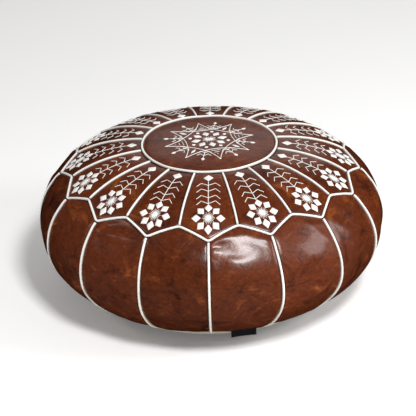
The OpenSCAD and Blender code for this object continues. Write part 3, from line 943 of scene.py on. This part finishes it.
def base_half(name, side, node_name):
    turns = np.linspace(0.0, math.pi, 105)
    steps = np.r_[0, 0.012, 0.03, np.linspace(0.06, 0.955, 30), 0.975, 0.988, 1.0]
    edge_x = math.sqrt(rim_r ** 2 - slot_half ** 2)
    # along the zip the edge line runs straight, and the rim is round
    rim = np.c_[rim_r * np.cos(turns), np.maximum(rim_r * np.sin(turns), slot_half)]
    hem = np.c_[edge_x * np.cos(turns), np.full(len(turns), slot_half)]
    xy = hem[None] * (1 - steps[:, None, None]) + rim[None] * steps[:, None, None]
    r = np.hypot(xy[..., 0], xy[..., 1])
    z = floor_height(r)
    phi = np.arctan2(xy[..., 1], xy[..., 0])
    from_rim = rim_r - r
    gathers = 0.0011 * (1 + np.sin(46 * phi + 2.3 * np.sin(5 * phi))) * np.exp(-from_rim / 0.030)
    soft = 0.0006 * (1 + np.sin(41 * xy[..., 0] + 1.7 * side) * np.sin(52 * xy[..., 1] + 0.6))
    by_zip = 0.0012 * np.exp(-((xy[..., 1] - slot_half) / 0.006) ** 2)
    fade = np.clip(from_rim / 0.012, 0, 1)
    z = z + gathers * fade + soft * np.clip(from_rim / 0.03, 0, 1) + by_zip
    # the rim tucks up behind the piping
    z[-1] += 0.006
    z[-2] += 0.0022
    z[-3] += 0.0007
    inside_slot = np.abs(xy[..., 0]) < slot_length / 2 - 0.001
    # the edge turned in beside the zip, up the side and over
    up_rows = []
    for dy, high in ((0.0019, 0.0068), (0.0002, 0.0067), (0.0000, 0.0040), (0.0003, 0.0018)):
        row = np.c_[xy[0, :, 0], np.full(len(turns), slot_half + dy), np.maximum(z[0], high)]
        short = ~inside_slot[0]
        row[short, 2] = z[0][short] + high * 0.35
        up_rows.append(row)
    rows = np.array(up_rows + [np.c_[xy[k], z[k]] for k in range(len(steps))])
    rows[len(up_rows), :, 1] += 0.0009
    rows[..., 1] *= side
    count, cols = rows.shape[:2]
    piece = new_piece(name, rows.reshape(-1, 3), grid_faces(count, cols))
    if side > 0:
        piece.data.flip_normals()
    mark(piece, "seam", np.minimum(np.hypot(rows[..., 0], rows[..., 1]) * -1 + rim_r + 0.006,
                                   np.abs(rows[..., 1]) - slot_half + 0.008))
    mark(piece, "tone", np.full(count * cols, 0.4 + 0.2 * side))
    piece.data.materials.append(dark_leather)
    soft_finish(piece, leather_thick)
    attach(piece, "root")
    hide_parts(node_name)
    return piece


base_half("base_leather_front", -1, "base_panel_front")
base_half("base_leather_back", 1, "base_panel_back")


def stitch_row(a, b, facing, pitch_m=0.0045, long=0.0032, thick=0.0007):
    """A straight row of stitches between two points: short fat threads that dip at each end."""
    a, b, facing = np.array(a), np.array(b), np.array(facing, float)
    length = np.linalg.norm(b - a)
    way = (b - a) / length
    aside = np.cross(way, facing)
    parts = []
    count = int(length / pitch_m)
    turns = np.linspace(0, 2 * math.pi, 7)[:-1]
    for k in range(count):
        middle = a + way * (k + 0.5) * length / count
        t = np.array([-1, -0.6, 0, 0.6, 1])
        centre = middle + way * t[:, None] * long / 2 + facing * (0.00025 - 0.0008 * t[:, None] ** 4)
        ring_points = centre[:, None] + thick / 2 * (np.cos(turns)[None, :, None] * aside
                                                     + np.sin(turns)[None, :, None] * facing)
        cols = len(turns)
        uv = np.stack([np.repeat((t + 1) * long / 2, cols), np.tile(turns, len(t)) * thick / 2], -1)
        parts.append((ring_points.reshape(-1, 3), capped(len(t), cols), uv))
    return parts


brown_thread, shader, node, link = nodes_of("stitching_thread", 0.6, 0.3)
twist_map = node("UVMap", uv_map="threads")
twist = node("TexWave", bands_direction="DIAGONAL", in_Scale=900, in_Distortion=0.6)
link(twist_map, "UV", twist, "Vector")
twist_tone = ramp(node, (0.2, (0.055, 0.020, 0.010)), (0.8, (0.17, 0.070, 0.036)))
link(twist, "Color", twist_tone, "Fac")
link(twist_tone, "Color", shader, "Base Color")
relief(node, link, shader, (twist, "Fac"), 0.5, 0.0001)

stitches = []
for side in (-1, 1):
    x_end = slot_length / 2 + 0.012
    stitches += stitch_row((-x_end, side * 0.0108, 0.0011), (x_end, side * 0.0108, 0.0011), (0, 0, -1))
topstitching = thread_piece("base_topstitching", stitches, None)
topstitching.data.materials[0] = brown_thread

# ---- Zip ----
# A coarse brass zip closes the base: two woven tapes sewn behind the turned edges, moulded teeth,
# end stops, a slider and its pull tab. Small leather tabs close the slot beyond its two ends.

tabs = []
for side in (-1, 1):
    xs = np.linspace(slot_length / 2 + 0.0004, rim_r - 0.0015, 18)
    ys = np.linspace(-0.0074, 0.0074, 9)
    X, Y = np.meshgrid(side * xs, ys * side, indexing="ij")
    r = np.hypot(X, Y)
    Z = floor_height(r) + 0.0010 + 0.0009 * (1 - (Y / 0.0074) ** 2) + 0.0003 * np.sin(X * 260)
    Z = Z + 0.0012 * (np.abs(Y) > 0.0070)
    top = np.stack([X, Y, Z + 0.0013], -1)
    under = np.stack([X, Y, Z], -1)
    rows, cols = X.shape
    n = rows * cols
    faces = grid_faces(rows, cols).tolist() + [f[::-1] for f in grid_faces(rows, cols, n).tolist()]
    edge = ([(0, c) for c in range(cols - 1)] + [(k, cols - 1) for k in range(rows - 1)]
            + [(rows - 1, c) for c in range(cols - 1, 0, -1)] + [(k, 0) for k in range(rows - 1, 0, -1)])
    ids = [k * cols + c for k, c in edge]
    for p, q in zip(ids, ids[1:] + ids[:1]):
        faces.append([p, q, q + n, p + n])
    tabs.append((np.vstack([top.reshape(-1, 3), under.reshape(-1, 3)]), faces))
tab_piece = join_parts("zip_tab_leather", tabs)
mark(tab_piece, "seam", np.full(len(tab_piece.data.vertices), 0.02))
mark(tab_piece, "tone", np.full(len(tab_piece.data.vertices), 0.3))
tab_piece.data.materials.append(dark_leather)
soft_finish(tab_piece, 0)
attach(tab_piece, "root")
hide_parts("zip_end_tabs")

tape_weave, shader, node, link = nodes_of("zip_tape_weave", 0.85, 0.2)
space = texture_space(node, link)
warp = node("TexWave", bands_direction="X", in_Scale=520, in_Distortion=0.4)
weft = node("TexWave", bands_direction="Y", in_Scale=520, in_Distortion=0.4)
for threads_way in (warp, weft):
    link(space, "Vector", threads_way, "Vector")
crossing = node("Math", operation="MULTIPLY")
link(warp, "Fac", crossing, 0)
link(weft, "Fac", crossing, 1)
tape_tone = ramp(node, (0.0, (0.016, 0.008, 0.005)), (0.5, (0.050, 0.024, 0.014)),
                 (1.0, (0.075, 0.038, 0.022)))
link(crossing, 0, tape_tone, "Fac")
link(tape_tone, "Color", shader, "Base Color")
relief(node, link, shader, (crossing, 0), 0.6, 0.00018)

for name, side, node_name in (("zip_tape_woven_front", -1, "zip_tape_front"),
                              ("zip_tape_woven_back", 1, "zip_tape_back")):
    box_lo, box_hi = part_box(node_name)
    near, far = sorted((abs(box_lo.y), abs(box_hi.y)))
    xs = np.linspace(box_lo.x, box_hi.x, 121)
    ys = np.array([near, near + 0.0012, near + 0.004, near + 0.008, far - 0.0015, far])
    X, Y = np.meshgrid(xs, ys, indexing="ij")
    ripple = 0.00010 * np.sin(X * 190 + side) * np.clip((Y - near) / 0.01, 0, 1)
    Z = box_lo.z + 0.00006 + ripple + 0.0001
    woven = new_piece(name, np.stack([X, side * Y, Z], -1).reshape(-1, 3), grid_faces(121, 6))
    if side < 0:
        woven.data.flip_normals()
    thick = woven.modifiers.new("thickness", "SOLIDIFY")
    thick.thickness, thick.offset = box_hi.z - box_lo.z - 0.0002, 1
    woven.data.materials.append(tape_weave)
    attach(woven, "root")
    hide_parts(node_name)

brass, shader, node, link = nodes_of("zip_brass", 0.3, 0.5, Metallic=1.0)
space = texture_space(node, link)
tarnish = noise(node, link, space, 210, 6, 0.65, 0.4)
brass_tone = ramp(node, (0.30, (0.30, 0.185, 0.065)), (0.52, (0.66, 0.46, 0.20)), (0.75, (0.80, 0.60, 0.30)))
link(tarnish, "Fac", brass_tone, "Fac")
link(brass_tone, "Color", shader, "Base Color")
link(spread(node, link, tarnish, 0.3, 0.7, 0.5, 0.22), 0, shader, "Roughness")
scratch_space = texture_space(node, link, (1, 14, 14))
scratches = noise(node, link, scratch_space, 160, 3, 0.7)
relief(node, link, shader, (scratches, "Fac"), 0.25, 0.00006)
for node_name in ("zip_teeth_front", "zip_teeth_back", "zip_stops", "zip_slider", "zip_pull_tab"):
    part = frame["nodes"][node_name]
    for material_slot in part.material_slots:
        material_slot.material = brass

# ---- Label ----
# A small black label of damask weave, folded in half and caught in the base seam in front. It is
# plain: a maker adds their own mark.

box_lo, box_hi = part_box("woven_label")
label_turn = math.radians(14)
# the fold is caught a little above the cut ends, so the label covers the piping behind it
label_lift = 0.0075
label_wide, label_top, label_low = 0.040, box_hi.z + label_lift, box_lo.z + label_lift
label_hangs_at = base_seam_r + 0.0015
bottom_edge = surface_of(*[o for o in bpy.context.scene.objects
                           if o.name.startswith(("side_leather_01", "piping_round"))])
way_out = Vector((math.sin(label_turn), -math.cos(label_turn), 0))
way_along = Vector((math.cos(label_turn), math.sin(label_turn), 0))


def stands_out(x_at, z):
    """How far out the panel and the piping reach behind a place on the label."""
    far_out = 0.34
    start = way_out * far_out + way_along * x_at + Vector((0, 0, z))
    hit = bottom_edge.ray_cast(start, -way_out, 0.2)
    return max(far_out - hit[3], label_hangs_at) if hit[0] is not None else label_hangs_at


xs = np.linspace(-label_wide / 2, label_wide / 2, 21)
levels = np.linspace(label_top, label_low + 0.0008, 12)
reach = np.array([[stands_out(x_at, z) for z in levels] for x_at in xs])
reach = np.maximum.accumulate(reach, axis=1) + 0.0012
for k in range(6):
    reach[1:-1] = np.maximum(reach[1:-1], (reach[2:] + reach[:-2]) / 2)
    reach[:, 1:-1] = np.maximum(reach[:, 1:-1], (reach[:, 2:] + reach[:, :-2]) / 2)
hang = (label_top - levels) / (label_top - label_low)
reach += hang ** 2 * (0.0010 + 0.0004 * np.sin(xs * 190))[:, None]
gap_in_fold = 0.0006
verts = []
for x_at, row in zip(xs, reach):
    fold = [(row[-1] + gap_in_fold * (0.5 + 0.5 * math.cos(a)), levels[-1] - 0.0007 * math.sin(a))
            for a in np.linspace(0, math.pi, 7)[1:-1]]
    loop = [(r + gap_in_fold, z) for r, z in zip(row, levels)] + fold + list(zip(row[::-1], levels[::-1]))
    verts.append([way_out * r + way_along * x_at + Vector((0, 0, z)) for r, z in loop])
verts = np.array(verts)
label = new_piece("label_folded", verts.reshape(-1, 3), grid_faces(len(xs), len(loop)))
thick = label.modifiers.new("thickness", "SOLIDIFY")
thick.thickness, thick.offset = 0.0004, 0
damask, shader, node, link = nodes_of("label_damask", 0.6, 0.25, Sheen_Weight=0.2)
label_space = texture_space(node, link)
label_space.inputs["Rotation"].default_value = (0, 0, -label_turn)
pick = node("TexWave", bands_direction="Z", in_Scale=700)
end = node("TexWave", bands_direction="X", in_Scale=480)
for threads_way in (pick, end):
    link(label_space, "Vector", threads_way, "Vector")
woven_in = node("Math", operation="MULTIPLY")
link(pick, "Fac", woven_in, 0)
link(end, "Fac", woven_in, 1)
label_tone = ramp(node, (0.0, (0.004, 0.004, 0.005)), (1.0, (0.022, 0.022, 0.026)))
link(woven_in, 0, label_tone, "Fac")
link(label_tone, "Color", shader, "Base Color")
relief(node, link, shader, (woven_in, 0), 0.5, 0.00012)
label.data.materials.append(damask)
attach(label, "root")
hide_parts("woven_label")

# ---- Inner bag and filling ----
# Inside the cover a calico bag, sewn from eight gores, holds a packed fibre filling. The bag lies
# clear of the zip in a shallow channel. Neither is seen while the cover is closed.


def inside_shape(inset, rows_top, turns, lumps, seed):
    """A closed lumpy shape that follows the cover's outline, a given way in from it."""
    s = np.linspace(0, base_s, rows_top)
    a = np.linspace(0, 2 * math.pi, turns + 1)[:-1]
    S, A = np.meshgrid(s, a, indexing="ij")
    points, facing = on_round(A, S)
    lump = np.random.default_rng(seed)
    high = np.zeros(S.shape)
    for k in range(9):
        way = lump.normal(size=3)
        way *= lump.uniform(20, 70) / np.linalg.norm(way)
        high += lumps / 3 * np.sin(points @ way + lump.uniform(0, 6.3))
    gore = np.abs((A / (2 * math.pi) * 8) % 1 - 0.5) * 2
    high -= lumps * 0.8 * np.clip((gore - 0.86) / 0.14, 0, 1)
    body = points + facing * (high - inset)[..., None]
    top = []
    for share in (0.04, 0.3, 0.6, 0.85):
        ring_points = body[0] * share
        ring_points[:, 2] = crown_top - inset - 0.004 * share ** 2 - 0.002 + high[0] * share
        top.append(ring_points)
    bottom = []
    for share in (0.93, 0.8, 0.65, 0.5, 0.35, 0.2, 0.1, 0.02):
        ring_points = body[-1] * share
        r = np.hypot(ring_points[:, 0], ring_points[:, 1])
        ring_points[:, 2] = floor_height(r) + inset + 0.001 * np.sin(8 * a) * share
        bottom.append(ring_points)
    all_rows = np.array(top + list(body) + bottom)
    # the channel over the zip
    clear = np.clip((0.0230 - np.abs(all_rows[..., 1])) / 0.006, 0, 1) \
        * np.clip((0.172 - np.abs(all_rows[..., 0])) / 0.010, 0, 1)
    low = all_rows[..., 2] < 0.06
    lifted = np.maximum(all_rows[..., 2], 0.0125 + inset * 0.3)
    all_rows[..., 2] = np.where(low, all_rows[..., 2] * (1 - clear) + lifted * clear, all_rows[..., 2])
    rows, cols = all_rows.shape[:2]
    faces = [f[::-1] for f in grid_faces(rows, cols, closed=True).tolist()]
    faces.append(list(range(cols)))
    faces.append(list(range((rows - 1) * cols, rows * cols))[::-1])
    return all_rows.reshape(-1, 3), faces


calico, shader, node, link = nodes_of("bag_calico", 0.9, 0.15, Sheen_Weight=0.15)
space = texture_space(node, link)
weave_a = node("TexWave", bands_direction="DIAGONAL", in_Scale=420, in_Distortion=0.8)
weave_b = node("TexWave", bands_direction="Z", in_Scale=420, in_Distortion=0.8)
for threads_way in (weave_a, weave_b):
    link(space, "Vector", threads_way, "Vector")
weave = node("Math", operation="MULTIPLY")
link(weave_a, "Fac", weave, 0)
link(weave_b, "Fac", weave, 1)
slubs = noise(node, link, space, 60, 6, 0.7, 1.0)
calico_tone = ramp(node, (0.0, (0.50, 0.44, 0.33)), (1.0, (0.72, 0.66, 0.53)))
link(weave, 0, calico_tone, "Fac")
slub_tone = ramp(node, (0.35, (0.85,)), (0.7, (1.05,)))
link(slubs, "Fac", slub_tone, "Fac")
calico_colour = blend_colour(node, link, "MULTIPLY", 1.0, (calico_tone, "Color"), (slub_tone, "Color"))
link(calico_colour, 2, shader, "Base Color")
relief(node, link, shader, (weave, 0), 0.5, 0.0002)

fibre, shader, node, link = nodes_of("filling_fibre", 1.0, 0.1, Sheen_Weight=0.4)
space = texture_space(node, link)
tufts = noise(node, link, space, 90, 8, 0.75, 2.5)
fibre_tone = ramp(node, (0.3, (0.62, 0.60, 0.56)), (0.7, (0.88, 0.87, 0.84)))
link(tufts, "Fac", fibre_tone, "Fac")
link(fibre_tone, "Color", shader, "Base Color")
relief(node, link, shader, (tufts, "Fac"), 0.9, 0.002)

for name, node_name, inset, lumps, seed, finish, fill in (
        ("bag_inner", "inner_bag", 0.0095, 0.0012, 5, calico, 0.9),
        ("filling_packed", "filling", 0.0140, 0.0018, 6, fibre, 0.9)):
    verts, faces = inside_shape(inset, 52, 96, lumps, seed)
    piece = new_piece(name, verts, faces)
    piece.data.materials.append(finish)
    soft_finish(piece, 0)
    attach(piece, "root")
    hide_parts(node_name)

# ---- Floor, light and camera ----
# A plain white floor, a soft key light high in front, weaker ones on the right, on the left and
# behind, and a camera a little above the pouf.

floor = new_piece("floor", [(-9, -9, 0), (9, -9, 0), (9, 9, 0), (-9, 9, 0)], [(0, 1, 2, 3)], False)
floor_paint, shader, node, link = nodes_of("floor_paint", 0.9, 0.1, Emission_Color=(1, 1, 1, 1),
                                           Emission_Strength=0.12)
space = texture_space(node, link)
scuff = noise(node, link, space, 2.0, 3, 0.5)
floor_tone = ramp(node, (0.3, (0.93, 0.93, 0.93)), (0.7, (0.95, 0.95, 0.95)))
link(scuff, "Fac", floor_tone, "Fac")
link(floor_tone, "Color", shader, "Base Color")
floor.data.materials.append(floor_paint)
floor.visible_glossy = False

world = bpy.data.worlds.new("studio")
world.use_nodes = True
sky = world.node_tree.nodes["Background"]
sky.inputs["Color"].default_value = (1, 0.98, 0.96, 1)
sky.inputs["Strength"].default_value = 0.30
bpy.context.scene.world = world
world.cycles_visibility.glossy = False


def soft_light(name, place, size, power, aim=(0, 0, 0.12), colour=(1, 1, 1)):
    light = bpy.data.lights.new(name, "AREA")
    light.shape = "RECTANGLE"
    light.size, light.size_y = size
    light.energy, light.color = power, colour
    stand = bpy.data.objects.new(name, light)
    bpy.context.scene.collection.objects.link(stand)
    stand.location = place
    stand.rotation_euler = (Vector(aim) - Vector(place)).to_track_quat("-Z", "Y").to_euler()
    return stand


soft_light("key_light", (0.66, -1.6, 2.3), (0.50, 0.50), 60)
soft_light("right_light", (2.1, -0.5, 1.3), (0.8, 0.8), 22)
soft_light("fill_light", (-1.9, -0.5, 1.75), (0.35, 0.35), 4)
soft_light("back_light", (0.25, 2.0, 1.2), (1.5, 0.6), 3)

camera = bpy.data.cameras.new("camera")
camera.lens = 125.70
tripod = bpy.data.objects.new("camera", camera)
bpy.context.scene.collection.objects.link(tripod)
bpy.context.scene.camera = tripod
azimuth, elevation, roll = math.radians(1.287), math.radians(27.233), math.radians(-1.543)
back = Vector((math.sin(azimuth) * math.cos(elevation), -math.cos(azimuth) * math.cos(elevation),
               math.sin(elevation)))
tripod.location = Vector((-0.00476, 0, 0.13151)) + back * 2.38982
tripod.rotation_mode = "QUATERNION"
tripod.rotation_quaternion = Quaternion(-back, -roll) @ (-back).to_track_quat("-Z", "Y")
bpy.context.scene.view_settings.view_transform = "Standard"
